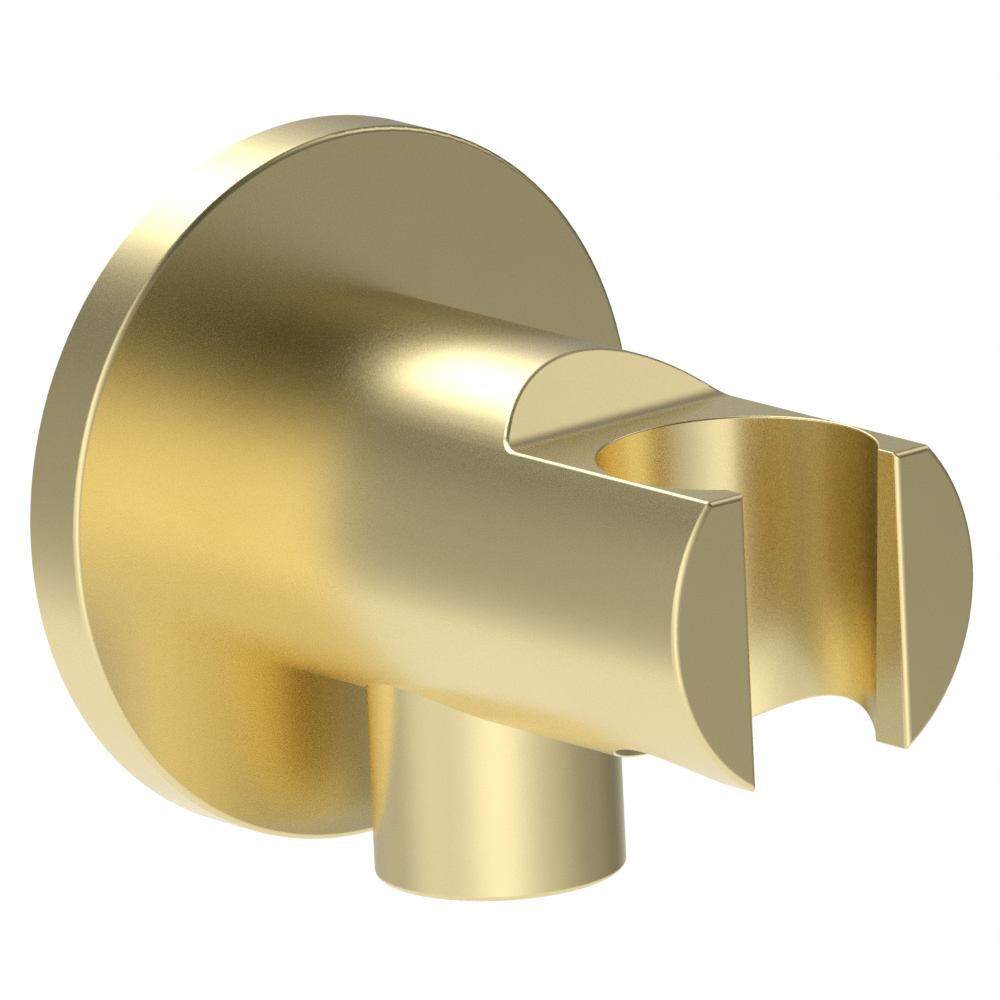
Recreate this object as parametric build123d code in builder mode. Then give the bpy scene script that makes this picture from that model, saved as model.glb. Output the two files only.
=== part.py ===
from build123d import *
import os
from math import cos, radians, sin, tan

# Hand shower holder: a wall elbow with a slotted socket for the handset.
# Millimetres. The origin is the centre of the flange's back face, on the wall.
# +Y points into the wall, the arm reaches out along -Y, and +Z is up.

# Outside, as seen
flange_diameter = 60.0
flange_thickness = 6.1
arm_diameter = 32.2
reach = 65.0
edge_round = 0.5
small_round = 0.15
outlet_diameter = 20.8
outlet_setback = 22.3
outlet_drop = 30.0
outlet_root_gap = 0.8
outlet_root_draft = 0.2

# Flat, step and socket at the arm's end
flat_height = 11.05
step_to_socket = 15.1
step_lean = 45.0
step_foot_round = 2.5
socket_to_end = 10.25
socket_top_diameter = 22.8
socket_bottom_diameter = 21.0
socket_lean = 1.2
slot_width = 16.1

# Wall nipple, its washer and the flange gasket
wall_thread_diameter = 20.955
wall_thread_length = 14.0
thread_chamfer = 1.0
thread_relief_diameter = 18.6
collar_diameter = 27.0
collar_thickness = 2.5
collar_play = 0.5
washer_thickness = 1.5
washer_play = 0.2
spigot_diameter = 19.0
spigot_length = 19.6
spigot_fit = 0.05
nipple_bore = 12.0
hex_across_flats = 10.0
hex_depth = 10.0
gasket_inset = 3.0
gasket_width = 5.0
gasket_thickness = 1.5
gasket_play = 0.1

# O-rings, as squeezed in their grooves
o_ring_width = 2.2
o_ring_groove_width = 2.6
o_ring_groove_depth = 1.75
front_o_ring_setback = 17.0
rear_o_ring_setback = 13.6
seal_film = 0.02

# Set screw
screw_diameter = 4.0
screw_length = 6.0
screw_setback = 9.3
screw_tip_diameter = 2.0
screw_hex = 2.0
screw_hex_depth = 2.5
screw_thread_fit = 0.05
screw_groove_depth = 1.3
screw_tip_gap = 0.05

# Waterway in the body
chamber_end = 27.5
passage_diameter = 8.4
passage_setback = 23.4
plenum_height = 1.5

# Non-return valve cartridge
cartridge_diameter = 14.8
cartridge_fit = 0.1
cartridge_length = 15.0
cartridge_collar_diameter = 17.0
cartridge_collar_thickness = 1.6
cartridge_sunk = 0.2
cartridge_bore = 12.0
seat_thickness = 3.4
orifice_diameter = 8.6
valve_o_ring_width = 1.7
valve_o_ring_groove_width = 2.0
valve_o_ring_groove_depth = 1.3
guide_diameter = 12.9
guide_fit = 0.03
guide_ring_width = 1.5
guide_ring_height = 2.4
guide_sunk = 0.2
guide_hub_diameter = 6.0
guide_spokes = 3
spoke_width = 1.4
spoke_height = 1.4
poppet_diameter = 10.0
poppet_disc_thickness = 1.4
poppet_neck_diameter = 7.0
poppet_lip_diameter = 7.8
poppet_lip_height = 0.8
poppet_nose_height = 1.4
poppet_nose_tip = 2.4
poppet_travel = 2.5
stem_diameter = 2.5
stem_fit = 0.05
stem_reach = 1.7
poppet_seal_thickness = 1.1
seal_seat_gap = 0.02
spring_wire = 0.4
spring_diameter = 4.6
spring_turns = 4.5
spring_spare = 0.4

# Radii and levels that follow from them
arm_radius = arm_diameter / 2
socket_setback = reach - socket_to_end
step_setback = socket_setback - step_to_socket
outlet_radius = outlet_diameter / 2
outlet_root_level = -arm_radius - outlet_root_gap
spigot_radius = spigot_diameter / 2
spigot_bore_radius = spigot_radius + spigot_fit
gasket_outer_radius = flange_diameter / 2 - gasket_inset
gasket_inner_radius = gasket_outer_radius - gasket_width
screw_floor = spigot_radius - screw_groove_depth
collar_recess_depth = washer_thickness + collar_thickness + collar_play
cartridge_radius = cartridge_diameter / 2
cartridge_bottom = -outlet_drop + cartridge_sunk
cartridge_top = cartridge_bottom + cartridge_length
seat_level = cartridge_top - seat_thickness
beyond = 2.0

# Sketch planes: a turned piece is drawn as a half section and revolved.
# On wall_section x is the distance out from the wall, and y is the radius.
# On outlet_section x is the radius, and y is the height.
wall_section = Plane(origin=(0, 0, 0), x_dir=(0, -1, 0), z_dir=(-1, 0, 0))
outlet_section = Plane(origin=(0, -outlet_setback, 0), x_dir=(1, 0, 0), z_dir=(0, -1, 0))
outlet_axis = Axis((0, -outlet_setback, 0), (0, 0, 1))


def turn(plane, axis, corners, mode=Mode.ADD):
    """Revolve the closed outline through the corners about the axis."""
    with BuildSketch(plane) as outline:
        with BuildLine():
            Polyline(*corners, close=True)
        make_face()
    revolve(outline.sketch, axis, mode=mode)


def squeezed_ring(plane, axis, centre, width, height):
    """Revolve the oval section of a seal that lies squeezed in its groove."""
    with BuildSketch(plane) as outline:
        with Locations(centre):
            Ellipse(width / 2, height / 2)
    revolve(outline.sketch, axis)


os.makedirs("parts", exist_ok=True)

# Body: flange, arm, socket and outlet stub in one forging
with BuildPart() as holder_body:
    with BuildSketch(Plane.XZ):
        Circle(flange_diameter / 2)
    extrude(amount=flange_thickness)
    with BuildSketch(Plane.XZ.offset(flange_thickness)):
        Circle(arm_radius)
    extrude(amount=reach - flange_thickness)
    rims = holder_body.edges().filter_by(GeomType.CIRCLE).group_by(SortBy.RADIUS)[-1].sort_by(Axis.Y)
    fillet(rims[0], edge_round)
    fillet(rims[-1], small_round)

    # outlet stub: straight for the hose nut, with a slight draft at its root in the arm
    root_radius = outlet_radius - outlet_root_level * tan(radians(outlet_root_draft))
    turn(
        outlet_section,
        outlet_axis,
        [
            (0, -outlet_drop),
            (outlet_radius, -outlet_drop),
            (outlet_radius, outlet_root_level),
            (root_radius, 0),
            (0, 0),
        ],
    )
    fillet(holder_body.faces().sort_by(Axis.Z)[0].edges(), edge_round)

    # the arm's end is cut down to a flat, behind it a leaning step
    cut_top = arm_radius + beyond
    step_top_setback = step_setback - (cut_top - flat_height) * tan(radians(step_lean))
    with BuildSketch(Plane.YZ):
        with BuildLine():
            Polyline(
                (-step_setback, flat_height),
                (-step_top_setback, cut_top),
                (-reach - beyond, cut_top),
                (-reach - beyond, flat_height),
                close=True,
            )
        make_face()
    extrude(amount=arm_radius + beyond, both=True, mode=Mode.SUBTRACT)
    flat_lines = holder_body.edges().filter_by(Axis.X).group_by(Axis.Y)
    fillet(flat_lines[-1], step_foot_round)
    fillet(holder_body.edges().filter_by(GeomType.ELLIPSE), edge_round)

    # socket: a cone that leans away from the wall at its top
    lean = radians(socket_lean)
    socket_section = Plane(
        origin=(0, -socket_setback, flat_height),
        x_dir=(1, 0, 0),
        z_dir=(0, -cos(lean), -sin(lean)),
    )
    socket_depth = flat_height + arm_radius
    socket_slope = (socket_top_diameter - socket_bottom_diameter) / 2 / socket_depth
    turn(
        socket_section,
        Axis(socket_section.origin, socket_section.y_dir),
        [
            (0, -socket_depth - beyond),
            (socket_bottom_diameter / 2 - socket_slope * beyond, -socket_depth - beyond),
            (socket_top_diameter / 2 + socket_slope * beyond, beyond),
            (0, beyond),
        ],
        mode=Mode.SUBTRACT,
    )

    # slot: lets the hose in from the front
    slot_centre = (socket_setback + reach + beyond) / 2
    slot_run = reach + beyond - socket_setback
    with BuildSketch(Plane((0, -slot_centre, -arm_radius - beyond))):
        Rectangle(slot_width, slot_run)
    extrude(amount=2 * (arm_radius + beyond), mode=Mode.SUBTRACT)

    # soft edges: round the arm's end, then under the socket and slot, then round their mouth
    fillet(holder_body.faces().filter_by(Axis.Y).group_by(Axis.Y)[0].edges(), edge_round)
    lower_rim = (
        holder_body.edges()
        .filter_by_position(Axis.Y, -reach + 2 * edge_round, -step_setback)
        .filter_by_position(Axis.Z, -arm_radius, -slot_width / 2)
    )
    fillet(lower_rim, small_round)
    flat = holder_body.faces().filter_by(Axis.Z).sort_by(Axis.Z)[-1]
    slot_lines = flat.edges().filter_by(Axis.Y).filter_by_position(Axis.X, -slot_width / 2, slot_width / 2)
    fillet(flat.edges().filter_by(GeomType.ELLIPSE) + slot_lines, small_round)

    # waterway: chamber for the nipple, passage down, valve bore up the stub
    turn(
        wall_section,
        Axis.Y,
        [
            (0, 0),
            (0, collar_diameter / 2 + collar_play),
            (collar_recess_depth, collar_diameter / 2 + collar_play),
            (collar_recess_depth, spigot_bore_radius),
            (chamber_end, spigot_bore_radius),
            (chamber_end, 0),
        ],
        mode=Mode.SUBTRACT,
    )
    with BuildSketch(Plane((0, -passage_setback, cartridge_top + plenum_height / 2))):
        Circle(passage_diameter / 2)
    extrude(amount=-cartridge_top - plenum_height / 2, mode=Mode.SUBTRACT)
    valve_bore_radius = cartridge_radius + cartridge_fit
    collar_seat_radius = cartridge_collar_diameter / 2 + cartridge_fit
    collar_seat_level = cartridge_bottom + cartridge_collar_thickness
    turn(
        outlet_section,
        outlet_axis,
        [
            (0, -outlet_drop - beyond),
            (collar_seat_radius, -outlet_drop - beyond),
            (collar_seat_radius, collar_seat_level),
            (valve_bore_radius, collar_seat_level),
            (valve_bore_radius, cartridge_top + plenum_height),
            (0, cartridge_top + plenum_height),
        ],
        mode=Mode.SUBTRACT,
    )

    # set screw hole from below
    with BuildSketch(Plane((0, -screw_setback, -arm_radius - beyond))):
        Circle(screw_diameter / 2 + screw_thread_fit)
    extrude(amount=arm_radius + beyond - screw_floor, mode=Mode.SUBTRACT)

    # groove for the gasket in the flange's back
    with BuildSketch(Plane.XZ):
        Circle(gasket_outer_radius + gasket_play)
        Circle(gasket_inner_radius - gasket_play, mode=Mode.SUBTRACT)
    extrude(amount=gasket_thickness, mode=Mode.SUBTRACT)

holder_body.part.label = "holder_body"
export_step(holder_body.part, "parts/holder_body.step")

# Wall nipple: screws into the wall with a hex key, and carries the body
front_groove = front_o_ring_setback
rear_groove = rear_o_ring_setback
half_groove = o_ring_groove_width / 2
groove_floor = spigot_radius - o_ring_groove_depth
screw_groove_half = screw_tip_diameter / 2 + screw_groove_depth
collar_front = washer_thickness + collar_thickness
with BuildPart() as wall_nipple:
    turn(
        wall_section,
        Axis.Y,
        [
            (-wall_thread_length, nipple_bore / 2),
            (-wall_thread_length, wall_thread_diameter / 2 - thread_chamfer),
            (-wall_thread_length + thread_chamfer, wall_thread_diameter / 2),
            (0, wall_thread_diameter / 2),
            (0, thread_relief_diameter / 2),
            (washer_thickness, thread_relief_diameter / 2),
            (washer_thickness, collar_diameter / 2),
            (collar_front, collar_diameter / 2),
            (collar_front, spigot_radius),
            (screw_setback - screw_groove_half, spigot_radius),
            (screw_setback - screw_tip_diameter / 2, screw_floor),
            (screw_setback + screw_tip_diameter / 2, screw_floor),
            (screw_setback + screw_groove_half, spigot_radius),
            (rear_groove - half_groove, spigot_radius),
            (rear_groove - half_groove, groove_floor),
            (rear_groove + half_groove, groove_floor),
            (rear_groove + half_groove, spigot_radius),
            (front_groove - half_groove, spigot_radius),
            (front_groove - half_groove, groove_floor),
            (front_groove + half_groove, groove_floor),
            (front_groove + half_groove, spigot_radius),
            (spigot_length - edge_round, spigot_radius),
            (spigot_length, spigot_radius - edge_round),
            (spigot_length, 0),
            (spigot_length - hex_depth, 0),
            (spigot_length - hex_depth, nipple_bore / 2),
        ],
    )
    with BuildSketch(Plane.XZ.offset(spigot_length)):
        RegularPolygon(hex_across_flats / 2, 6, major_radius=False)
    extrude(amount=-hex_depth, mode=Mode.SUBTRACT)
wall_nipple.part.label = "wall_nipple"
export_step(wall_nipple.part, "parts/wall_nipple.step")

# O-rings on the nipple
o_ring_height = spigot_bore_radius - groove_floor - 2 * seal_film
o_ring_radius = (spigot_bore_radius + groove_floor) / 2
with BuildPart() as nipple_o_ring_front:
    squeezed_ring(wall_section, Axis.Y, (front_o_ring_setback, o_ring_radius), o_ring_width, o_ring_height)
nipple_o_ring_front.part.label = "nipple_o_ring_front"
export_step(nipple_o_ring_front.part, "parts/nipple_o_ring_front.step")

with BuildPart() as nipple_o_ring_rear:
    squeezed_ring(wall_section, Axis.Y, (rear_o_ring_setback, o_ring_radius), o_ring_width, o_ring_height)
nipple_o_ring_rear.part.label = "nipple_o_ring_rear"
export_step(nipple_o_ring_rear.part, "parts/nipple_o_ring_rear.step")

# Set screw with a cone point, driven from below
screw_tip_level = -(screw_floor + screw_tip_gap)
screw_section = Plane(origin=(0, -screw_setback, 0), x_dir=(1, 0, 0), z_dir=(0, -1, 0))
screw_point = (screw_diameter - screw_tip_diameter) / 2
with BuildPart() as set_screw:
    turn(
        screw_section,
        Axis((0, -screw_setback, 0), (0, 0, 1)),
        [
            (0, screw_tip_level),
            (screw_tip_diameter / 2, screw_tip_level),
            (screw_diameter / 2, screw_tip_level - screw_point),
            (screw_diameter / 2, screw_tip_level - screw_length),
            (0, screw_tip_level - screw_length),
        ],
    )
    with BuildSketch(Plane((0, -screw_setback, screw_tip_level - screw_length))):
        RegularPolygon(screw_hex / 2, 6, major_radius=False)
    extrude(amount=screw_hex_depth, mode=Mode.SUBTRACT)
set_screw.part.label = "set_screw"
export_step(set_screw.part, "parts/set_screw.step")

# Washer between the nipple's collar and the fitting in the wall
with BuildPart() as wall_washer:
    with BuildSketch(Plane.XZ):
        Circle(collar_diameter / 2)
        Circle(wall_thread_diameter / 2 + washer_play, mode=Mode.SUBTRACT)
    extrude(amount=washer_thickness)
wall_washer.part.label = "wall_washer"
export_step(wall_washer.part, "parts/wall_washer.step")

# Gasket, flush with the flange's back once pressed against the wall
with BuildPart() as flange_gasket:
    with BuildSketch(Plane.XZ):
        Circle(gasket_outer_radius)
        Circle(gasket_inner_radius, mode=Mode.SUBTRACT)
    extrude(amount=gasket_thickness)
flange_gasket.part.label = "flange_gasket"
export_step(flange_gasket.part, "parts/flange_gasket.step")

# Valve cartridge: water enters through the orifice at the top
ring_top = cartridge_bottom + guide_sunk + guide_ring_height
valve_groove_level = cartridge_top - seat_thickness / 2
valve_groove_floor = cartridge_radius - valve_o_ring_groove_depth
with BuildPart() as valve_housing:
    turn(
        outlet_section,
        outlet_axis,
        [
            (orifice_diameter / 2, cartridge_top),
            (cartridge_radius, cartridge_top),
            (cartridge_radius, valve_groove_level + valve_o_ring_groove_width / 2),
            (valve_groove_floor, valve_groove_level + valve_o_ring_groove_width / 2),
            (valve_groove_floor, valve_groove_level - valve_o_ring_groove_width / 2),
            (cartridge_radius, valve_groove_level - valve_o_ring_groove_width / 2),
            (cartridge_radius, collar_seat_level),
            (cartridge_collar_diameter / 2, collar_seat_level),
            (cartridge_collar_diameter / 2, cartridge_bottom),
            (guide_diameter / 2 + guide_fit, cartridge_bottom),
            (guide_diameter / 2 + guide_fit, ring_top),
            (cartridge_bore / 2, ring_top),
            (cartridge_bore / 2, seat_level),
            (orifice_diameter / 2, seat_level),
        ],
    )
valve_housing.part.label = "valve_housing"
export_step(valve_housing.part, "parts/valve_housing.step")

valve_o_ring_height = valve_bore_radius - valve_groove_floor - 2 * seal_film
valve_o_ring_radius = (valve_bore_radius + valve_groove_floor) / 2
with BuildPart() as valve_o_ring:
    squeezed_ring(
        outlet_section,
        outlet_axis,
        (valve_o_ring_radius, valve_groove_level),
        valve_o_ring_height,
        valve_o_ring_width,
    )
valve_o_ring.part.label = "valve_o_ring"
export_step(valve_o_ring.part, "parts/valve_o_ring.step")

# Levels of the closed poppet, and of the guide's hub below it
seal_top = seat_level - seal_seat_gap
disc_top = seal_top - poppet_seal_thickness
disc_bottom = disc_top - poppet_disc_thickness
lip_top = seal_top + poppet_lip_height
hub_top = disc_bottom - poppet_travel - spring_turns * spring_wire - spring_spare
spokes_bottom = ring_top - spoke_height

# Guide: a ring with spokes to a hub that steers the stem
with BuildPart() as valve_guide:
    with BuildSketch(Plane((0, -outlet_setback, ring_top))):
        Circle(guide_diameter / 2)
        Circle(guide_diameter / 2 - guide_ring_width, mode=Mode.SUBTRACT)
    extrude(amount=-guide_ring_height)
    with BuildSketch(Plane((0, -outlet_setback, ring_top))):
        spoke_length = guide_diameter / 2 - guide_ring_width / 2
        with PolarLocations(spoke_length / 2, guide_spokes):
            Rectangle(spoke_length, spoke_width)
    extrude(amount=-spoke_height)
    with BuildSketch(Plane((0, -outlet_setback, hub_top))):
        Circle(guide_hub_diameter / 2)
    extrude(amount=spokes_bottom - hub_top)
    with BuildSketch(Plane((0, -outlet_setback, hub_top))):
        Circle(stem_diameter / 2 + stem_fit)
    extrude(amount=spokes_bottom - hub_top, mode=Mode.SUBTRACT)
valve_guide.part.label = "valve_guide"
export_step(valve_guide.part, "parts/valve_guide.step")

# Poppet: nose and lip above the seal, disc below it, stem into the guide
with BuildPart() as valve_poppet:
    turn(
        outlet_section,
        outlet_axis,
        [
            (0, lip_top + poppet_nose_height),
            (poppet_nose_tip / 2, lip_top + poppet_nose_height),
            (poppet_lip_diameter / 2, lip_top),
            (poppet_lip_diameter / 2, seal_top + seal_film),
            (poppet_neck_diameter / 2, seal_top + seal_film),
            (poppet_neck_diameter / 2, disc_top - seal_film),
            (poppet_diameter / 2, disc_top - seal_film),
            (poppet_diameter / 2, disc_bottom),
            (stem_diameter / 2, disc_bottom),
            (stem_diameter / 2, hub_top - stem_reach),
            (0, hub_top - stem_reach),
        ],
    )
valve_poppet.part.label = "valve_poppet"
export_step(valve_poppet.part, "parts/valve_poppet.step")

with BuildPart() as poppet_seal:
    with BuildSketch(Plane((0, -outlet_setback, seal_top))):
        Circle(poppet_diameter / 2)
        Circle(poppet_neck_diameter / 2 + seal_film, mode=Mode.SUBTRACT)
    extrude(amount=-poppet_seal_thickness)
poppet_seal.part.label = "poppet_seal"
export_step(poppet_seal.part, "parts/poppet_seal.step")

# Spring between the guide's hub and the poppet's disc, valve closed
spring_low = hub_top + spring_wire / 2 + seal_film
spring_high = disc_bottom - spring_wire / 2 - seal_film
spring_rise = spring_high - spring_low
with BuildPart() as valve_spring:
    with BuildLine(Plane((0, -outlet_setback, spring_low))) as coil:
        Helix(spring_rise / spring_turns, spring_rise, spring_diameter / 2)
    with BuildSketch(Plane(origin=coil.line @ 0, z_dir=coil.line % 0)):
        Circle(spring_wire / 2)
    sweep(path=coil.line)
valve_spring.part.label = "valve_spring"
export_step(valve_spring.part, "parts/valve_spring.step")
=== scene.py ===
from math import cos, pi, radians, sin

import bpy
from bpy.props import FloatProperty, FloatVectorProperty, IntProperty, PointerProperty
from mathutils import Matrix, Vector


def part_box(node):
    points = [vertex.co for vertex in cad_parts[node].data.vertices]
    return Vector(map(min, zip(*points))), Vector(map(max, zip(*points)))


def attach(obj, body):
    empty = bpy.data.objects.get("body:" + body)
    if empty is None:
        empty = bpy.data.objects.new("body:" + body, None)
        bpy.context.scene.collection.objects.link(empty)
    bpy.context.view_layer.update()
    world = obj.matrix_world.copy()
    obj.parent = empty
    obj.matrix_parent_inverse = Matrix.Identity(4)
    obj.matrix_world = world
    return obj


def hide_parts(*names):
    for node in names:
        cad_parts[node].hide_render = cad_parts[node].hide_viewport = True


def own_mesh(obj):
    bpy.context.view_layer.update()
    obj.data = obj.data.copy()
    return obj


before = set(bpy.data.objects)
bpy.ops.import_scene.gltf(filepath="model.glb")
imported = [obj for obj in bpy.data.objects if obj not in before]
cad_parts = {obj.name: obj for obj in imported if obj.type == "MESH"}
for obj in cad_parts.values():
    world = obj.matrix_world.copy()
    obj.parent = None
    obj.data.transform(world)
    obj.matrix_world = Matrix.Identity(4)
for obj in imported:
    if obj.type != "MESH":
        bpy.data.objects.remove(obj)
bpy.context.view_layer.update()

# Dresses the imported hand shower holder: satin brass body, a wall nipple with a
# real thread, rubber seals, a moulded valve, and a pale studio round them.
# Metres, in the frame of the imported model: +Y into the wall, +Z up.

bl_info = {
    "name": "Hand shower holder",
    "version": (1, 0, 0),
    "blender": (4, 5, 0),
    "location": "3D View > Sidebar > Holder",
    "description": "Finishes the hand shower holder and sets up its studio",
    "category": "Object",
}

nipple_low, nipple_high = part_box("wall_nipple")

MM = 0.001
WHITE = (1, 1, 1, 1)
MERGE_DISTANCE = 1e-7  # for points that belong together by construction
SEAM_DISTANCE = 1e-6  # for the threads of neighbouring turns

# The body's ring-shaped rounds. Each joins a face, at a level along an axis out of the
# body, to a cylinder about that axis, and acts only between its low and high Z.
BODY_ROUNDS = {
    "flange front": dict(
        axis=(0, -1, 0), foot=(0, 0, 0), face_level=6.1 * MM, cylinder_radius=30.0 * MM,
        size=0.5 * MM, low=-31 * MM, high=31 * MM),
    "arm end": dict(
        axis=(0, -1, 0), foot=(0, 0, 0), face_level=65.0 * MM, cylinder_radius=16.1 * MM,
        size=0.5 * MM, low=-13.0 * MM, high=10.5 * MM),
    "outlet foot": dict(
        axis=(0, 0, -1), foot=(0, -22.3 * MM, 0), face_level=30.0 * MM,
        cylinder_radius=10.4 * MM, size=0.5 * MM, low=-31 * MM, high=-28 * MM),
}
ROUND_MARGIN = 1.1  # a round acts a little beyond its size, where the mesh strays

# Glows on the studio's tent, each a soft lamp behind the cloth:
# azimuth and elevation in degrees, tightness, strength
TENT_GLOWS = {
    "softbox": (170, 57, 38, 4.2),
    "softbox, upper edge": (173, 66, 50, 1.0),
    "softbox, lower edge": (172, 30, 45, 2.0),
    "softbox, right edge": (152, 42, 50, 1.1),
    "behind the wall": (158, 23, 10, 0.60),
    "behind, low": (-164, -45, 9.6, 1.31),
    "right, high": (72, 37, 13, 1.18),
    "right, low": (135, -42, 10, 1.60),
    "front right, low": (63, -26, 10, 0.28),
    "front, low": (16, -34, 9.9, 0.71),
    "front left": (-28, -9, 8.0, 0.90),
    "front left, low": (-50, -39, 9.8, 0.87),
    "front left, high": (-61, 15, 9.7, 0.88),
    "left": (-104, 8, 6.1, 0.69),
    "left, high": (-94, 41, 9.1, 0.67),
    "left, low": (-106, -42, 9.8, 0.86),
}


class NippleSizes(bpy.types.PropertyGroup):
    """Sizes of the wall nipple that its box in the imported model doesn't give."""

    thread_radius: FloatProperty(
        name="Thread radius", description="Outside radius of the wall thread",
        default=10.4775 * MM, subtype="DISTANCE", unit="LENGTH", precision=5)
    thread_depth: FloatProperty(
        name="Thread depth", description="From the thread's crests down to its roots",
        default=1.162 * MM, subtype="DISTANCE", unit="LENGTH", precision=5)
    thread_pitch: FloatProperty(
        name="Thread pitch", description="Rise of the thread in one turn",
        default=1.8143 * MM, subtype="DISTANCE", unit="LENGTH", precision=5)
    thread_chamfer: FloatProperty(
        name="Thread chamfer", description="Chamfer at each end of the thread",
        default=1.0 * MM, subtype="DISTANCE", unit="LENGTH", precision=5)
    relief_radius: FloatProperty(
        name="Relief radius", description="Radius of the plain neck inside the washer",
        default=9.3 * MM, subtype="DISTANCE", unit="LENGTH", precision=5)
    washer_thickness: FloatProperty(
        name="Washer thickness", description="Gap between the wall and the collar",
        default=1.5 * MM, subtype="DISTANCE", unit="LENGTH", precision=5)
    collar_thickness: FloatProperty(
        name="Collar thickness", description="Thickness of the collar that presses the washer",
        default=2.5 * MM, subtype="DISTANCE", unit="LENGTH", precision=5)
    spigot_radius: FloatProperty(
        name="Spigot radius", description="Radius of the part that carries the holder",
        default=9.5 * MM, subtype="DISTANCE", unit="LENGTH", precision=5)
    screw_groove_setback: FloatProperty(
        name="Screw groove setback", description="From the wall to the set screw's groove",
        default=9.3 * MM, subtype="DISTANCE", unit="LENGTH", precision=5)
    screw_groove_floor: FloatProperty(
        name="Screw groove floor", description="Width of the set screw's groove at its floor",
        default=2.0 * MM, subtype="DISTANCE", unit="LENGTH", precision=5)
    screw_groove_depth: FloatProperty(
        name="Screw groove depth", description="Depth of the set screw's groove",
        default=1.3 * MM, subtype="DISTANCE", unit="LENGTH", precision=5)
    seal_groove_setbacks: FloatVectorProperty(
        name="Seal groove setbacks",
        description="From the wall to the middle of each O-ring groove",
        default=(13.6 * MM, 17.0 * MM), size=2, subtype="XYZ_LENGTH", unit="LENGTH", precision=5)
    seal_groove_width: FloatProperty(
        name="Seal groove width", description="Width of each O-ring groove",
        default=2.6 * MM, subtype="DISTANCE", unit="LENGTH", precision=5)
    seal_groove_depth: FloatProperty(
        name="Seal groove depth", description="Depth of each O-ring groove",
        default=1.75 * MM, subtype="DISTANCE", unit="LENGTH", precision=5)
    bore_radius: FloatProperty(
        name="Bore radius", description="Radius of the bore that the water takes",
        default=6.0 * MM, subtype="DISTANCE", unit="LENGTH", precision=5)
    hex_across_flats: FloatProperty(
        name="Hex across flats", description="Size of the key that turns the nipple",
        default=10.0 * MM, subtype="DISTANCE", unit="LENGTH", precision=5)
    hex_depth: FloatProperty(
        name="Hex depth", description="How far the key goes in",
        default=10.0 * MM, subtype="DISTANCE", unit="LENGTH", precision=5)
    edge_chamfer: FloatProperty(
        name="Edge chamfer", description="Small chamfer on the turned edges",
        default=0.3 * MM, subtype="DISTANCE", unit="LENGTH", precision=5)
    steps: IntProperty(
        name="Steps", description="Steps in one turn of the turned shapes",
        default=96, min=24, max=256)


class MetalFinish(bpy.types.PropertyGroup):
    """Colours and surface of the metal pieces."""

    satin_light: FloatVectorProperty(
        name="Satin brass, light", description="Lighter tone of the satin brass",
        default=(0.90, 0.762, 0.41), size=3, subtype="COLOR", min=0, max=1)
    satin_dark: FloatVectorProperty(
        name="Satin brass, dark", description="Darker tone of the satin brass",
        default=(0.88, 0.746, 0.40), size=3, subtype="COLOR", min=0, max=1)
    satin_roughness: FloatProperty(
        name="Satin roughness", description="Mean roughness of the satin brass",
        default=0.27, min=0, max=1, subtype="FACTOR")
    satin_roughness_spread: FloatProperty(
        name="Satin roughness spread", description="How much the grain changes the roughness",
        default=0.02, min=0, max=1, subtype="FACTOR")
    satin_grain: FloatProperty(
        name="Satin grain", description="Width of the blasted grain",
        default=0.16 * MM, subtype="DISTANCE", unit="LENGTH", precision=5)
    satin_grain_height: FloatProperty(
        name="Satin grain height", description="Height of the blasted grain",
        default=0.0002 * MM, subtype="DISTANCE", unit="LENGTH", precision=6)
    turned_brass: FloatVectorProperty(
        name="Turned brass", description="Colour of the plain turned brass",
        default=(0.74, 0.57, 0.27), size=3, subtype="COLOR", min=0, max=1)
    steel: FloatVectorProperty(
        name="Stainless steel", description="Colour of the set screw and the spring",
        default=(0.62, 0.61, 0.58), size=3, subtype="COLOR", min=0, max=1)


class SoftFinish(bpy.types.PropertyGroup):
    """Colours of the rubber, foam and moulded pieces."""

    seal: FloatVectorProperty(
        name="Seal rubber", description="Colour of the O-rings and the valve's seal",
        default=(0.018, 0.018, 0.018), size=3, subtype="COLOR", min=0, max=1)
    washer: FloatVectorProperty(
        name="Washer rubber", description="Colour of the flat washer",
        default=(0.03, 0.03, 0.034), size=3, subtype="COLOR", min=0, max=1)
    gasket: FloatVectorProperty(
        name="Gasket foam", description="Colour of the foam gasket behind the flange",
        default=(0.075, 0.075, 0.08), size=3, subtype="COLOR", min=0, max=1)
    housing: FloatVectorProperty(
        name="Valve housing", description="Colour of the valve's housing",
        default=(0.70, 0.70, 0.67), size=3, subtype="COLOR", min=0, max=1)
    guide: FloatVectorProperty(
        name="Valve guide", description="Colour of the guide that closes the valve",
        default=(0.05, 0.15, 0.42), size=3, subtype="COLOR", min=0, max=1)
    poppet: FloatVectorProperty(
        name="Poppet", description="Colour of the valve's poppet",
        default=(0.50, 0.50, 0.48), size=3, subtype="COLOR", min=0, max=1)


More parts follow.
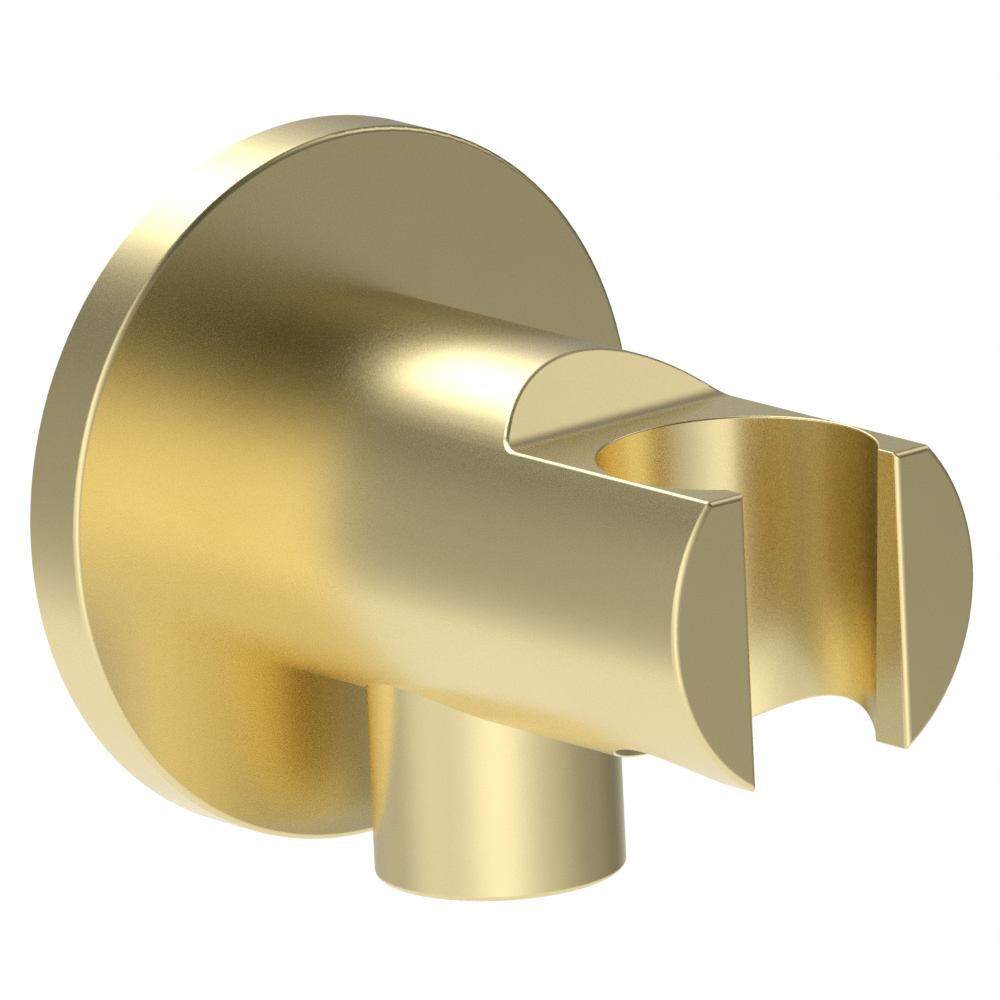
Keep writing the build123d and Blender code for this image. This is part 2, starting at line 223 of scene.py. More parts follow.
class StudioSettings(bpy.types.PropertyGroup):
    """Camera, floor and tent."""

    camera_azimuth: FloatProperty(
        name="Camera azimuth", description="Round the holder, 0 looks along +Y",
        default=radians(-39.55), subtype="ANGLE", unit="ROTATION")
    camera_elevation: FloatProperty(
        name="Camera elevation", description="Above the horizon",
        default=radians(14.92), subtype="ANGLE", unit="ROTATION")
    camera_roll: FloatProperty(
        name="Camera roll", description="Turn about the line of sight",
        default=radians(-2.71), subtype="ANGLE", unit="ROTATION")
    camera_distance: FloatProperty(
        name="Camera distance", description="From the aim point to the camera",
        default=1.5526, subtype="DISTANCE", unit="LENGTH")
    camera_aim: FloatVectorProperty(
        name="Camera aim", description="Point in the middle of the picture",
        default=(0.04 * MM, -24.41 * MM, 1.79 * MM),
        size=3, subtype="XYZ_LENGTH", unit="LENGTH", precision=5)
    camera_lens: FloatProperty(
        name="Camera lens", description="Focal length in millimetres",
        default=680.94, subtype="DISTANCE_CAMERA")
    floor_drop: FloatProperty(
        name="Floor drop", description="From the wall fixing down to the floor",
        default=0.30, subtype="DISTANCE", unit="LENGTH")
    floor_radius: FloatProperty(
        name="Floor radius", description="Radius at which the floor has faded out",
        default=0.62, subtype="DISTANCE", unit="LENGTH")
    floor_colour: FloatVectorProperty(
        name="Floor colour", description="Colour of the pale floor",
        default=(0.9, 0.9, 0.9), size=3, subtype="COLOR", min=0, max=1)
    floor_white: FloatProperty(
        name="Floor white", description="How much of the floor shows as the white background",
        default=0.8, min=0, max=1, subtype="FACTOR")
    tent_radius: FloatProperty(
        name="Tent radius", description="Radius of the grey light tent",
        default=0.9, subtype="DISTANCE", unit="LENGTH")
    tent_grey: FloatProperty(
        name="Tent grey", description="Level of the tent's cloth where no lamp stands behind it",
        default=0.02, min=0, max=2)


def place_node(tree, kind, inputs=None, **settings):
    """Add a node, set its settings, and link or set each of its named inputs."""
    node = tree.nodes.new(kind)
    for key, value in settings.items():
        setattr(node, key, value)
    for key, value in (inputs or {}).items():
        if isinstance(value, bpy.types.NodeSocket):
            tree.links.new(value, node.inputs[key])
        else:
            node.inputs[key].default_value = value
    return node


def new_group(name, sockets):
    """Make an empty node group with the named sockets, and return it with its two ends."""
    group = bpy.data.node_groups.new(name, "ShaderNodeTree")
    for socket_name, way, kind, value in sockets:
        socket = group.interface.new_socket(socket_name, in_out=way, socket_type=kind)
        if value is not None:
            socket.default_value = value
    return group, group.nodes.new("NodeGroupInput"), group.nodes.new("NodeGroupOutput")


def use_group(tree, group, inputs):
    """Place a node group in a material with its own values."""
    return place_node(tree, "ShaderNodeGroup", inputs, node_tree=group)


def maths(tree, operation, *values):
    """The result of a math node on numbers or sockets."""
    inputs = dict(enumerate(values))
    return place_node(tree, "ShaderNodeMath", inputs, operation=operation).outputs[0]


def vector_maths(tree, operation, *values, **named):
    """The result of a vector math node: a number for a length or a dot product."""
    inputs = {**dict(enumerate(values)), **named}
    node = place_node(tree, "ShaderNodeVectorMath", inputs, operation=operation)
    return node.outputs["Value" if operation in ("LENGTH", "DOT_PRODUCT") else "Vector"]


def distance_from_axis(tree, parts, first, second):
    """How far a point is from an axis, by its two coordinates across that axis."""
    across = place_node(tree, "ShaderNodeCombineXYZ", {
        "X": parts.outputs[first], "Y": parts.outputs[second]})
    return vector_maths(tree, "LENGTH", across.outputs[0])


def grain_group():
    """Fine even grain, as blasting or a mould's skin leaves it: a height and a mask."""
    group, start, end = new_group("fine_grain", [
        ("Vector", "INPUT", "NodeSocketVector", None),
        ("Grain width", "INPUT", "NodeSocketFloat", 0.0002),
        ("Height", "OUTPUT", "NodeSocketFloat", None),
        ("Mask", "OUTPUT", "NodeSocketFloat", None),
    ])
    place = start.outputs["Vector"]
    coarse_step, coarse_share = 0.37, 0.4
    scale = maths(group, "DIVIDE", 1.0, start.outputs["Grain width"])
    fine = place_node(group, "ShaderNodeTexNoise", {
        "Vector": place, "Scale": scale, "Detail": 1.5, "Roughness": 0.6})
    coarse = place_node(group, "ShaderNodeTexNoise", {
        "Vector": place, "Scale": maths(group, "MULTIPLY", scale, coarse_step), "Detail": 1.0})
    mixed = maths(
        group, "MULTIPLY_ADD", coarse.outputs["Fac"], coarse_share, fine.outputs["Fac"])
    mask = place_node(group, "ShaderNodeMapRange", {
        "Value": mixed, "From Min": 0.45, "From Max": 0.95})
    group.links.new(mixed, end.inputs["Height"])
    group.links.new(mask.outputs["Result"], end.inputs["Mask"])
    return group


def cloud_group():
    """Slow change over the surface: a mask between two tones."""
    group, start, end = new_group("slow_clouds", [
        ("Vector", "INPUT", "NodeSocketVector", None),
        ("Cloud width", "INPUT", "NodeSocketFloat", 0.01),
        ("Mask", "OUTPUT", "NodeSocketFloat", None),
    ])
    scale = maths(group, "DIVIDE", 1.0, start.outputs["Cloud width"])
    clouds = place_node(group, "ShaderNodeTexNoise", {
        "Vector": start.outputs["Vector"], "Scale": scale, "Detail": 3.0})
    mask = place_node(group, "ShaderNodeMapRange", {
        "Value": clouds.outputs["Fac"], "From Min": 0.35, "From Max": 0.65})
    group.links.new(mask.outputs["Result"], end.inputs["Mask"])
    return group


def turning_group():
    """Rings that a cutting tool leaves round the Y axis: a height and a mask."""
    group, start, end = new_group("turning_marks", [
        ("Vector", "INPUT", "NodeSocketVector", None),
        ("Mark width", "INPUT", "NodeSocketFloat", 0.0001),
        ("Height", "OUTPUT", "NodeSocketFloat", None),
        ("Mask", "OUTPUT", "NodeSocketFloat", None),
    ])
    parts = place_node(group, "ShaderNodeSeparateXYZ", {"Vector": start.outputs["Vector"]})
    along = place_node(group, "ShaderNodeCombineXYZ", {
        "X": distance_from_axis(group, parts, "X", "Z"), "Y": parts.outputs["Y"]})
    scale = maths(group, "DIVIDE", 1.0, start.outputs["Mark width"])
    marks = place_node(group, "ShaderNodeTexNoise", {
        "Vector": along.outputs[0], "Scale": scale, "Detail": 2.0}, noise_dimensions="2D")
    mask = place_node(group, "ShaderNodeMapRange", {
        "Value": marks.outputs["Fac"], "From Min": 0.35, "From Max": 0.65})
    group.links.new(marks.outputs["Fac"], end.inputs["Height"])
    group.links.new(mask.outputs["Result"], end.inputs["Mask"])
    return group


def ring_round_group():
    """The true normal on a small round between a face and a cylinder.

    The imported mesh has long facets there, and its own normals show them."""
    group, start, end = new_group("ring_round", [
        ("Along", "INPUT", "NodeSocketFloat", None),
        ("Across", "INPUT", "NodeSocketVector", None),
        ("Axis", "INPUT", "NodeSocketVector", None),
        ("Face level", "INPUT", "NodeSocketFloat", 0.01),
        ("Cylinder radius", "INPUT", "NodeSocketFloat", 0.01),
        ("Round", "INPUT", "NodeSocketFloat", 0.0005),
        ("Share", "INPUT", "NodeSocketFloat", 1.0),
        ("Normal", "INPUT", "NodeSocketVector", None),
        ("Normal", "OUTPUT", "NodeSocketVector", None),
    ])
    given = start.outputs
    ring_radius = maths(group, "SUBTRACT", given["Cylinder radius"], given["Round"])
    ring_level = maths(group, "SUBTRACT", given["Face level"], given["Round"])
    beside = maths(
        group, "SUBTRACT", vector_maths(group, "LENGTH", given["Across"]), ring_radius)
    ahead = maths(group, "SUBTRACT", given["Along"], ring_level)
    outward = vector_maths(group, "NORMALIZE", given["Across"])
    side_part = vector_maths(group, "SCALE", outward, Scale=beside)
    face_part = vector_maths(group, "SCALE", given["Axis"], Scale=ahead)
    own = vector_maths(group, "NORMALIZE", vector_maths(group, "ADD", side_part, face_part))
    turned = place_node(
        group, "ShaderNodeVectorTransform", {"Vector": own},
        vector_type="NORMAL", convert_from="OBJECT", convert_to="WORLD")
    inside = maths(group, "GREATER_THAN", maths(group, "MINIMUM", beside, ahead), 0.0)
    reach = maths(group, "MULTIPLY", given["Round"], ROUND_MARGIN)
    near = maths(group, "LESS_THAN", maths(group, "MAXIMUM", beside, ahead), reach)
    on_ring = maths(group, "MULTIPLY", inside, near)
    share = maths(group, "MULTIPLY", on_ring, given["Share"])
    pick = place_node(group, "ShaderNodeMix", {
        "Factor": share, 4: given["Normal"], 5: turned.outputs[0]}, data_type="VECTOR")
    group.links.new(pick.outputs[1], end.inputs["Normal"])
    return group


def rounded_normal(tree, place, rounds):
    """The surface's normal, made true on the body's ring-shaped rounds.

    The axis of a round runs along Y or Z."""
    parts = place_node(tree, "ShaderNodeSeparateXYZ", {"Vector": place})
    normal = tree.nodes.new("ShaderNodeNewGeometry").outputs["Normal"]
    for name, ring in rounds.items():
        axis, low, high = ring["axis"], ring["low"], ring["high"]
        between = maths(
            tree, "COMPARE", parts.outputs["Z"], (low + high) / 2, (high - low) / 2)
        across = vector_maths(
            tree, "MULTIPLY", vector_maths(tree, "SUBTRACT", place, ring["foot"]),
            tuple(1.0 - abs(c) for c in axis))
        along = maths(tree, "MULTIPLY", parts.outputs["Y" if axis[1] else "Z"], sum(axis))
        node = use_group(tree, shared_group("ring_round", ring_round_group), {
            "Along": along, "Across": across, "Axis": axis,
            "Face level": ring["face_level"], "Cylinder radius": ring["cylinder_radius"],
            "Round": ring["size"], "Share": between, "Normal": normal})
        node.name = node.label = name
        normal = node.outputs["Normal"]
    return normal


def shared_group(name, build):
    """The node group of that name, built on its first use."""
    return bpy.data.node_groups.get(name) or build()


def bare_material(name):
    """An empty material, its node tree and the surface's own coordinates."""
    material = bpy.data.materials.new(name)
    material.use_nodes = True
    tree = material.node_tree
    tree.nodes.clear()
    return material, tree, tree.nodes.new("ShaderNodeTexCoord").outputs["Object"]


def new_material(name, metallic=0.0):
    """A bare material with its shader, which is linked to the output."""
    material, tree, place = bare_material(name)
    shader = place_node(tree, "ShaderNodeBsdfPrincipled", {"Metallic": metallic})
    place_node(tree, "ShaderNodeOutputMaterial", {"Surface": shader.outputs["BSDF"]})
    return material, tree, place, shader


def blend_tones(tree, mask, first, second):
    """A colour between two tones by a mask."""
    mix = place_node(tree, "ShaderNodeMix", {
        "Factor": mask, 6: (*first, 1.0), 7: (*second, 1.0)}, data_type="RGBA")
    return mix.outputs[2]


def spread_value(tree, mask, low, high):
    """A value between low and high by a mask."""
    spread = place_node(tree, "ShaderNodeMapRange", {"Value": mask, "To Min": low, "To Max": high})
    return spread.outputs["Result"]


def darker(colour, share):
    """A colour made darker by a share."""
    return tuple((1 - share) * c for c in colour)


def link_finish(tree, shader, colour, roughness, bump):
    """Link a finish's colour, roughness and bumps to its shader."""
    tree.links.new(colour, shader.inputs["Base Color"])
    tree.links.new(roughness, shader.inputs["Roughness"])
    tree.links.new(bump.outputs["Normal"], shader.inputs["Normal"])


def satin_brass(finish):
    """Blasted and plated brass: even satin with a fine grain."""
    material, tree, place, shader = new_material("Satin brass", metallic=1.0)
    grain = use_group(tree, shared_group("fine_grain", grain_group), {
        "Vector": place, "Grain width": finish.satin_grain})
    clouds = use_group(tree, shared_group("slow_clouds", cloud_group), {
        "Vector": place, "Cloud width": 12 * MM})
    bump = place_node(tree, "ShaderNodeBump", {
        "Strength": 1.0, "Distance": finish.satin_grain_height,
        "Height": grain.outputs["Height"],
        "Normal": rounded_normal(tree, place, BODY_ROUNDS)})
    colour = blend_tones(tree, clouds.outputs["Mask"], finish.satin_dark, finish.satin_light)
    roughness = spread_value(
        tree, grain.outputs["Mask"], finish.satin_roughness - finish.satin_roughness_spread,
        finish.satin_roughness + finish.satin_roughness_spread)
    link_finish(tree, shader, colour, roughness, bump)
    return material


def turned_metal(name, colour, mark_width, mark_height, roughness, spread=0.06, mottle=0.1):
    """Bare metal from the lathe, with its tool marks."""
    material, tree, place, shader = new_material(name, metallic=1.0)
    marks = use_group(tree, shared_group("turning_marks", turning_group), {
        "Vector": place, "Mark width": mark_width})
    clouds = use_group(tree, shared_group("slow_clouds", cloud_group), {
        "Vector": place, "Cloud width": 5 * MM})
    bump = place_node(tree, "ShaderNodeBump", {
        "Strength": 1.0, "Distance": mark_height, "Height": marks.outputs["Height"]})
    link_finish(
        tree, shader,
        blend_tones(tree, clouds.outputs["Mask"], darker(colour, mottle), colour),
        spread_value(tree, marks.outputs["Mask"], roughness - spread, roughness + spread),
        bump)
    return material


def moulded(
        name, colour, roughness, grain_width, grain_height,
        spread=0.08, mottle=0.08, metallic=0.0):
    """Rubber, plastic or plain metal with a fine skin and faint mottling."""
    material, tree, place, shader = new_material(name, metallic)
    grain = use_group(tree, shared_group("fine_grain", grain_group), {
        "Vector": place, "Grain width": grain_width})
    clouds = use_group(tree, shared_group("slow_clouds", cloud_group), {
        "Vector": place, "Cloud width": 3 * MM})
    bump = place_node(tree, "ShaderNodeBump", {
        "Strength": 1.0, "Distance": grain_height, "Height": grain.outputs["Height"]})
    link_finish(
        tree, shader,
        blend_tones(tree, clouds.outputs["Mask"], darker(colour, mottle), colour),
        spread_value(tree, grain.outputs["Mask"], roughness - spread, roughness + spread),
        bump)
    return material


def foam(name, colour, cell_width, cell_depth):
    """Closed-cell foam: small round pits in a matt skin, with painted shade darkening the pits."""
    material, tree, place, shader = new_material(name)
    cells = place_node(tree, "ShaderNodeTexVoronoi", {"Vector": place, "Scale": 1 / cell_width})
    pits = place_node(tree, "ShaderNodeMapRange", {
        "Value": cells.outputs["Distance"], "From Min": 0.1, "From Max": 0.45,
    }, interpolation_type="SMOOTHSTEP").outputs["Result"]
    bump = place_node(tree, "ShaderNodeBump", {
        "Strength": 1.0, "Distance": cell_depth, "Height": pits})
    # The colour is 40% darker in the pits: painted shade in the foam's pits.
    link_finish(
        tree, shader, blend_tones(tree, pits, darker(colour, 0.4), colour),
        spread_value(tree, pits, low=0.95, high=0.8), bump)
    return material


def wear(piece, material):
    """Give a piece one material all over."""
    piece.data.materials.clear()
    piece.data.materials.append(material)


def deselect_all():
    """Leave edit mode and deselect every object."""
    if bpy.context.mode != "OBJECT":
        bpy.ops.object.mode_set(mode="OBJECT")
    bpy.ops.object.select_all(action="DESELECT")


def draw_outline(name, corners):
    """Draw a chain of edges through (y, radius) corners in the XY plane, as a new object."""
    deselect_all()
    y, radius = corners[0]
    bpy.ops.mesh.primitive_plane_add(size=MM, location=(radius, y, 0))
    chain = bpy.context.object
    chain.name = name
    bpy.ops.object.transform_apply(location=True, rotation=False, scale=False)
    bpy.ops.object.mode_set(mode="EDIT")
    bpy.ops.mesh.select_mode(type="VERT")
    bpy.ops.mesh.select_all(action="SELECT")
    bpy.ops.mesh.merge(type="CENTER")
    for (y, radius), (next_y, next_radius) in zip(corners, corners[1:]):
        bpy.ops.mesh.extrude_region_move(
            TRANSFORM_OT_translate={"value": (next_radius - radius, next_y - y, 0)})
    return chain


def turn(name, corners, steps):
    """Turn an outline that starts and ends on the Y axis into a closed solid."""
    solid = draw_outline(name, corners)
    bpy.ops.mesh.select_all(action="SELECT")
    bpy.ops.mesh.spin(steps=steps, angle=2 * pi, center=(0, 0, 0), axis=(0, 1, 0))
    bpy.ops.mesh.select_all(action="SELECT")
    bpy.ops.mesh.remove_doubles(threshold=MERGE_DISTANCE)
    bpy.ops.mesh.normals_make_consistent(inside=False)
    bpy.ops.object.mode_set(mode="OBJECT")
    return solid


def apply_modifiers(piece):
    """Apply every modifier of a piece, in order."""
    deselect_all()
    piece.select_set(True)
    bpy.context.view_layer.objects.active = piece
    for name in [modifier.name for modifier in piece.modifiers]:
        bpy.ops.object.modifier_apply(modifier=name)


def combine(piece, operation, other):
    """Join, cut or intersect a piece with another solid, which is then gone."""
    modifier = piece.modifiers.new(operation.title(), "BOOLEAN")
    modifier.operation = operation
    modifier.object = other
    modifier.solver = "EXACT"
    apply_modifiers(piece)
    bpy.data.objects.remove(other)


def threaded_rod(sizes, length):
    """A closed rod with a right-hand pipe thread, from the wall to the thread's end."""
    half = sizes.thread_pitch / 2
    crest = sizes.thread_radius
    root = crest - sizes.thread_depth
    flank = 0.32 * sizes.thread_pitch
    soft = 0.12 * sizes.thread_depth
    crest_flat = 0.08 * MM
    crest_shoulder = 0.17 * MM
    root_shoulder = 0.03 * MM
    middle = half - 1.5 * sizes.thread_pitch
    side = [  # from the root up to the crest: distance from the crest's middle, radius
        (half, root),
        (flank + root_shoulder, root + 0.25 * soft),
        (flank - crest_flat, root + 1.6 * soft),
        (crest_shoulder, crest - 1.3 * soft),
        (crest_flat, crest - 0.2 * soft),
    ]
    outline = [(middle - away, radius) for away, radius in side]
    outline += [(middle + away, radius) for away, radius in reversed(side)]
    rod = draw_outline("threaded_rod", outline)
    bpy.ops.object.mode_set(mode="OBJECT")
    screw = rod.modifiers.new("Screw", "SCREW")
    screw.axis = "Y"
    screw.angle = 2 * pi
    screw.screw_offset = sizes.thread_pitch
    screw.iterations = int(length / sizes.thread_pitch) + 4
    screw.steps = screw.render_steps = sizes.steps
    screw.use_merge_vertices = True
    screw.merge_threshold = MERGE_DISTANCE
    apply_modifiers(rod)
    bpy.ops.object.mode_set(mode="EDIT")
    bpy.ops.mesh.select_all(action="SELECT")
    bpy.ops.mesh.remove_doubles(threshold=SEAM_DISTANCE)
    spare = 0.4 * MM
    for level, way in ((-spare, -1), (length + spare, 1)):
        bpy.ops.mesh.select_all(action="SELECT")
        bpy.ops.mesh.bisect(
            plane_co=(0, level, 0), plane_no=(0, way, 0), use_fill=True, clear_outer=True,
            threshold=MERGE_DISTANCE)
    bpy.ops.mesh.select_all(action="SELECT")
    bpy.ops.mesh.normals_make_consistent(inside=False)
    bpy.ops.object.mode_set(mode="OBJECT")
    return rod


class HOLDER_OT_turn_nipple(bpy.types.Operator):
    """Model the wall nipple with its thread, grooves, bore and hex"""

    bl_idname = "holder.turn_nipple"
    bl_label = "Turn the nipple"

    def execute(self, context):
        sizes = context.scene.holder_nipple
        thread_length = nipple_high.y
        spigot_end = nipple_low.y
        collar = nipple_high.x
        collar_back = -sizes.washer_thickness
        collar_front = collar_back - sizes.collar_thickness
        chamfer = sizes.edge_chamfer
        spigot = sizes.spigot_radius
        core_end = thread_length - 0.5 * MM  # inside the threaded rod
        corners = [
            (core_end, 0),
            (core_end, sizes.relief_radius),
            (collar_back, sizes.relief_radius),
            (collar_back, collar - chamfer),
            (collar_back - chamfer, collar),
            (collar_front + chamfer, collar),
            (collar_front, collar - chamfer),
            (collar_front, spigot),
        ]
        groove = -sizes.screw_groove_setback
        half_floor = sizes.screw_groove_floor / 2
        half_mouth = half_floor + sizes.screw_groove_depth
        corners += [
            (groove + half_mouth, spigot),
            (groove + half_floor, spigot - sizes.screw_groove_depth),
            (groove - half_floor, spigot - sizes.screw_groove_depth),
            (groove - half_mouth, spigot),
        ]
        for setback in sizes.seal_groove_setbacks:
            half_width = sizes.seal_groove_width / 2
            corners += [
                (half_width - setback, spigot),
                (half_width - setback, spigot - sizes.seal_groove_depth),
                (-half_width - setback, spigot - sizes.seal_groove_depth),
                (-half_width - setback, spigot),
            ]
        corners += [
            (spigot_end + chamfer, spigot),
            (spigot_end, spigot - chamfer),
            (spigot_end, 0),
        ]
        nipple = turn("nipple_with_thread", corners, sizes.steps)

        thread_end = sizes.thread_radius - sizes.thread_chamfer
        envelope = turn("thread_envelope", [
            (0, 0),
            (0, thread_end),
            (sizes.thread_chamfer, sizes.thread_radius),
            (thread_length - sizes.thread_chamfer, sizes.thread_radius),
            (thread_length, thread_end),
            (thread_length, 0),
        ], sizes.steps)
        rod = threaded_rod(sizes, thread_length)
        combine(rod, "INTERSECT", envelope)
        combine(nipple, "UNION", rod)

        hex_floor = spigot_end + sizes.hex_depth
        hex_corner = sizes.hex_across_flats / 2 / cos(pi / 6)
        bore = turn("bore", [
            (hex_floor, 0),
            (hex_floor, sizes.bore_radius),
            (thread_length - chamfer, sizes.bore_radius),
            (thread_length + chamfer, sizes.bore_radius + 2 * chamfer),
            (thread_length + chamfer, 0),
        ], sizes.steps)
        combine(nipple, "DIFFERENCE", bore)
        key = turn("key", [
            (spigot_end - chamfer, 0),
            (spigot_end - chamfer, hex_corner),
            (hex_floor + chamfer, hex_corner),
            (hex_floor + chamfer, 0),
        ], steps=6)
        combine(nipple, "DIFFERENCE", key)
        deselect_all()
        nipple.select_set(True)
        context.view_layer.objects.active = nipple
        bpy.ops.object.shade_smooth_by_angle(angle=radians(15))

        wear(nipple, turned_metal(
            "Turned brass", tuple(context.scene.holder_metal.turned_brass),
            mark_width=0.09 * MM, mark_height=0.004 * MM, roughness=0.3))
        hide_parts("wall_nipple")
        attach(nipple, "holder")
        return {"FINISHED"}


class HOLDER_OT_finish_body(bpy.types.Operator):
    """Give the body its satin brass"""

    bl_idname = "holder.finish_body"
    bl_label = "Finish the body"

    def execute(self, context):
        wear(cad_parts["holder_body"], satin_brass(context.scene.holder_metal))
        return {"FINISHED"}


class HOLDER_OT_finish_seals(bpy.types.Operator):
    """Give the O-rings, the washer and the gasket their rubber and foam"""

    bl_idname = "holder.finish_seals"
    bl_label = "Finish the seals"

    def execute(self, context):
        colours = context.scene.holder_soft
        seal = moulded(
            "Seal rubber", tuple(colours.seal), roughness=0.5,
            grain_width=0.12 * MM, grain_height=0.003 * MM, mottle=0.3)
        for node in ("nipple_o_ring_front", "nipple_o_ring_rear", "valve_o_ring", "poppet_seal"):
            wear(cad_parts[node], seal)
        wear(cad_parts["wall_washer"], moulded(
            "Washer rubber", tuple(colours.washer), roughness=0.7,
            grain_width=0.2 * MM, grain_height=0.01 * MM, mottle=0.3))
        wear(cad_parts["flange_gasket"], foam(
            "Gasket foam", tuple(colours.gasket), cell_width=0.35 * MM, cell_depth=0.08 * MM))
        return {"FINISHED"}


class HOLDER_OT_finish_valve(bpy.types.Operator):
    """Give the valve's moulded pieces, its spring and the set screw their finish"""

    bl_idname = "holder.finish_valve"
    bl_label = "Finish the valve"

    def execute(self, context):
        colours = context.scene.holder_soft
        for node, name, colour in (
            ("valve_housing", "Housing plastic", colours.housing),
            ("valve_guide", "Guide plastic", colours.guide),
            ("valve_poppet", "Poppet plastic", colours.poppet),
        ):
            wear(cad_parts[node], moulded(
                name, tuple(colour), roughness=0.42,
                grain_width=0.15 * MM, grain_height=0.004 * MM))
        steel = tuple(context.scene.holder_metal.steel)
        wear(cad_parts["set_screw"], moulded(
            "Screw steel", steel, roughness=0.35,
            grain_width=0.1 * MM, grain_height=0.003 * MM, metallic=1.0))
        wear(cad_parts["valve_spring"], moulded(
            "Spring steel", steel, roughness=0.3,
            grain_width=0.05 * MM, grain_height=0.002 * MM, metallic=1.0))
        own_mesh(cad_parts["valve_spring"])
        return {"FINISHED"}


def toward(azimuth, elevation):
    """The direction from the holder at an azimuth, 0 along -Y, and an elevation."""
    return Vector((
        sin(azimuth) * cos(elevation), -cos(azimuth) * cos(elevation), sin(elevation)))


def glow_group():
    """A soft round glow about a direction."""
    group, start, end = new_group("glow", [
        ("Direction", "INPUT", "NodeSocketVector", None),
        ("Centre", "INPUT", "NodeSocketVector", None),
        ("Tightness", "INPUT", "NodeSocketFloat", 4.0),
        ("Strength", "INPUT", "NodeSocketFloat", 1.0),
        ("Level", "OUTPUT", "NodeSocketFloat", None),
    ])
    near = vector_maths(
        group, "DOT_PRODUCT", start.outputs["Direction"], start.outputs["Centre"])
    away = maths(group, "SUBTRACT", near, 1.0)
    fall = maths(group, "MULTIPLY", away, start.outputs["Tightness"])
    level = maths(
        group, "MULTIPLY", maths(group, "EXPONENT", fall), start.outputs["Strength"])
    group.links.new(level, end.inputs["Level"])
    return group


def shown_as_background(tree):
    """1 for the rays that show the background: camera, glossy and transmission rays."""
    rays = tree.nodes.new("ShaderNodeLightPath").outputs
    glossy = maths(tree, "MAXIMUM", rays["Is Camera Ray"], rays["Is Glossy Ray"])
    return maths(tree, "MAXIMUM", glossy, rays["Is Transmission Ray"])


def set_world():
    """White behind everything, and a soft grey light for the rest."""
    world = bpy.data.worlds.new("Studio")
    world.use_nodes = True
    bpy.context.scene.world = world
    tree = world.node_tree
    tree.nodes.clear()
    light = place_node(tree, "ShaderNodeBackground", {"Color": WHITE, "Strength": 0.5})
    white = place_node(tree, "ShaderNodeBackground", {"Color": WHITE, "Strength": 1.0})
    mix = place_node(tree, "ShaderNodeMixShader", {
        0: shown_as_background(tree), 1: light.outputs[0], 2: white.outputs[0]})
    place_node(tree, "ShaderNodeOutputWorld", {"Surface": mix.outputs[0]})


def floor_material(studio):
    """Pale floor that fades out at its rim and can't be seen from below."""
    material, tree, place = bare_material("Pale floor")
    clouds = use_group(tree, shared_group("slow_clouds", cloud_group), {
        "Vector": place, "Cloud width": 0.2})
    colour = tuple(studio.floor_colour)
    paint = place_node(tree, "ShaderNodeBsdfDiffuse", {
        "Color": blend_tones(tree, clouds.outputs["Mask"], darker(colour, 0.02), colour)})
    white = place_node(tree, "ShaderNodeEmission", {"Color": WHITE, "Strength": 1.0})
    share = maths(tree, "MULTIPLY", shown_as_background(tree), studio.floor_white)
    pale = place_node(tree, "ShaderNodeMixShader", {
        0: share, 1: paint.outputs[0], 2: white.outputs[0]})
    parts = place_node(tree, "ShaderNodeSeparateXYZ", {"Vector": place})
    fade = place_node(tree, "ShaderNodeMapRange", {
        "Value": distance_from_axis(tree, parts, "X", "Y"),
        "From Min": 0.7 * studio.floor_radius, "From Max": 0.98 * studio.floor_radius,
    }, interpolation_type="SMOOTHSTEP")
    below = tree.nodes.new("ShaderNodeNewGeometry").outputs["Backfacing"]
    gone = maths(tree, "MAXIMUM", fade.outputs["Result"], below)
    clear = tree.nodes.new("ShaderNodeBsdfTransparent")
    floor = place_node(tree, "ShaderNodeMixShader", {
        0: gone, 1: pale.outputs[0], 2: clear.outputs[0]})
    place_node(tree, "ShaderNodeOutputMaterial", {"Surface": floor.outputs[0]})
    return material


def tent_material(studio, glows):
    """Grey cloth with soft glows where lamps stand behind it."""
    material, tree, place = bare_material("Tent cloth")
    direction = vector_maths(tree, "NORMALIZE", place)
    level = place_node(tree, "ShaderNodeValue").outputs[0]
    level.default_value = studio.tent_grey
    for name, (azimuth, elevation, tightness, strength) in glows.items():
        glow = use_group(tree, shared_group("glow", glow_group), {
            "Direction": direction, "Centre": toward(radians(azimuth), radians(elevation)),
            "Tightness": tightness, "Strength": strength})
        glow.name = glow.label = name
        level = maths(tree, "ADD", level, glow.outputs["Level"])
    cloth = place_node(tree, "ShaderNodeEmission", {"Color": WHITE, "Strength": level})
    place_node(tree, "ShaderNodeOutputMaterial", {"Surface": cloth.outputs[0]})
    return material


def set_floor(studio):
    """A round pale floor, well below the holder."""
    deselect_all()
    bpy.ops.mesh.primitive_circle_add(
        vertices=96, radius=studio.floor_radius, fill_type="NGON",
        location=(0, 0, -studio.floor_drop))
    floor = bpy.context.object
    floor.name = "floor"
    bpy.ops.object.transform_apply(location=True, rotation=False, scale=False)
    wear(floor, floor_material(studio))


def set_tent(studio):
    """A camera-invisible tent of grey cloth, so that the metal shows soft greys."""
    deselect_all()
    bpy.ops.mesh.primitive_uv_sphere_add(segments=64, ring_count=32, radius=studio.tent_radius)
    tent = bpy.context.object
    tent.name = "light_tent"
    bpy.ops.object.mode_set(mode="EDIT")
    bpy.ops.mesh.select_all(action="SELECT")
    bpy.ops.mesh.normals_make_consistent(inside=True)
    bpy.ops.object.mode_set(mode="OBJECT")
    wear(tent, tent_material(studio, TENT_GLOWS))
    tent.visible_camera = False


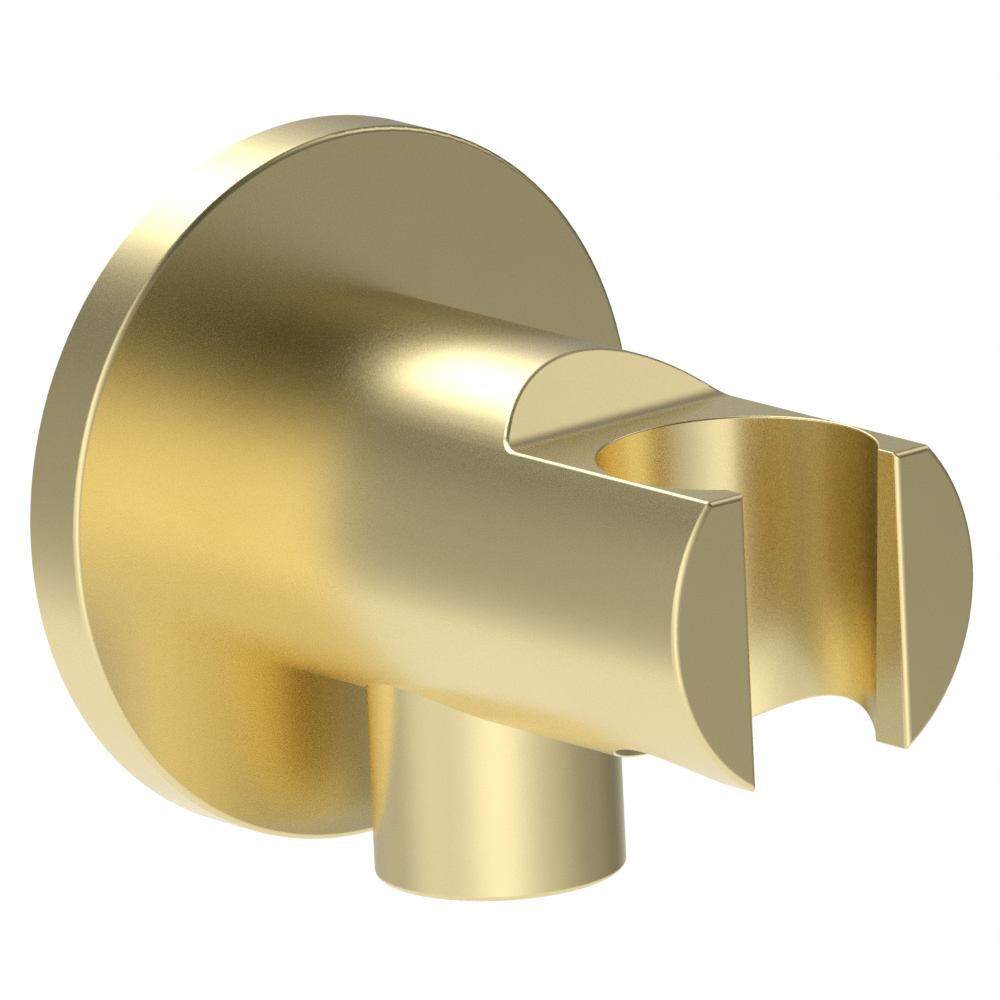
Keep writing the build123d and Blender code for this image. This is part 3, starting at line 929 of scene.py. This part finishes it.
def set_camera(studio):
    """The camera of the photograph."""
    data = bpy.data.cameras.new("Camera")
    data.lens = studio.camera_lens
    data.sensor_width = 36
    data.clip_start = 0.1
    data.clip_end = 10
    camera = bpy.data.objects.new("camera", data)
    bpy.context.scene.collection.objects.link(camera)
    back = toward(studio.camera_azimuth, studio.camera_elevation)
    level_right = Vector((cos(studio.camera_azimuth), sin(studio.camera_azimuth), 0))
    level_up = back.cross(level_right)
    right = cos(studio.camera_roll) * level_right + sin(studio.camera_roll) * level_up
    up = cos(studio.camera_roll) * level_up - sin(studio.camera_roll) * level_right
    turn_to = Matrix((right, up, back)).transposed()
    camera.matrix_world = Matrix.Translation(
        Vector(studio.camera_aim) + studio.camera_distance * back) @ turn_to.to_4x4()
    bpy.context.scene.camera = camera


class HOLDER_OT_set_stage(bpy.types.Operator):
    """Set up the world, the floor, the tent and the camera"""

    bl_idname = "holder.set_stage"
    bl_label = "Set the stage"

    def execute(self, context):
        studio = context.scene.holder_studio
        context.scene.view_settings.view_transform = "Standard"
        set_world()
        set_floor(studio)
        set_tent(studio)
        set_camera(studio)
        return {"FINISHED"}


OPERATORS = (
    HOLDER_OT_finish_body,
    HOLDER_OT_turn_nipple,
    HOLDER_OT_finish_seals,
    HOLDER_OT_finish_valve,
    HOLDER_OT_set_stage,
)


class HOLDER_PT_sidebar(bpy.types.Panel):
    """Lists the holder's operators and settings"""

    bl_idname = "HOLDER_PT_sidebar"
    bl_label = "Hand shower holder"
    bl_space_type = "VIEW_3D"
    bl_region_type = "UI"
    bl_category = "Holder"

    def draw(self, context):
        for operator in OPERATORS:
            self.layout.operator(operator.bl_idname)
        for group in ("holder_nipple", "holder_metal", "holder_soft", "holder_studio"):
            settings = getattr(context.scene, group)
            column = self.layout.column()
            for name in settings.bl_rna.properties.keys():
                if name not in ("rna_type", "name"):
                    column.prop(settings, name)


CLASSES = (NippleSizes, MetalFinish, SoftFinish, StudioSettings, *OPERATORS, HOLDER_PT_sidebar)


def register():
    """Register the classes, and hang the settings on the scene."""
    for cls in CLASSES:
        bpy.utils.register_class(cls)
    bpy.types.Scene.holder_nipple = PointerProperty(type=NippleSizes)
    bpy.types.Scene.holder_metal = PointerProperty(type=MetalFinish)
    bpy.types.Scene.holder_soft = PointerProperty(type=SoftFinish)
    bpy.types.Scene.holder_studio = PointerProperty(type=StudioSettings)


def unregister():
    """Take the settings off the scene, and unregister the classes."""
    for name in ("holder_nipple", "holder_metal", "holder_soft", "holder_studio"):
        delattr(bpy.types.Scene, name)
    for cls in reversed(CLASSES):
        bpy.utils.unregister_class(cls)


def main():
    """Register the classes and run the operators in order."""
    register()
    bpy.ops.holder.finish_body()
    bpy.ops.holder.turn_nipple()
    bpy.ops.holder.finish_seals()
    bpy.ops.holder.finish_valve()
    bpy.ops.holder.set_stage()


if __name__ == "__main__":
    main()
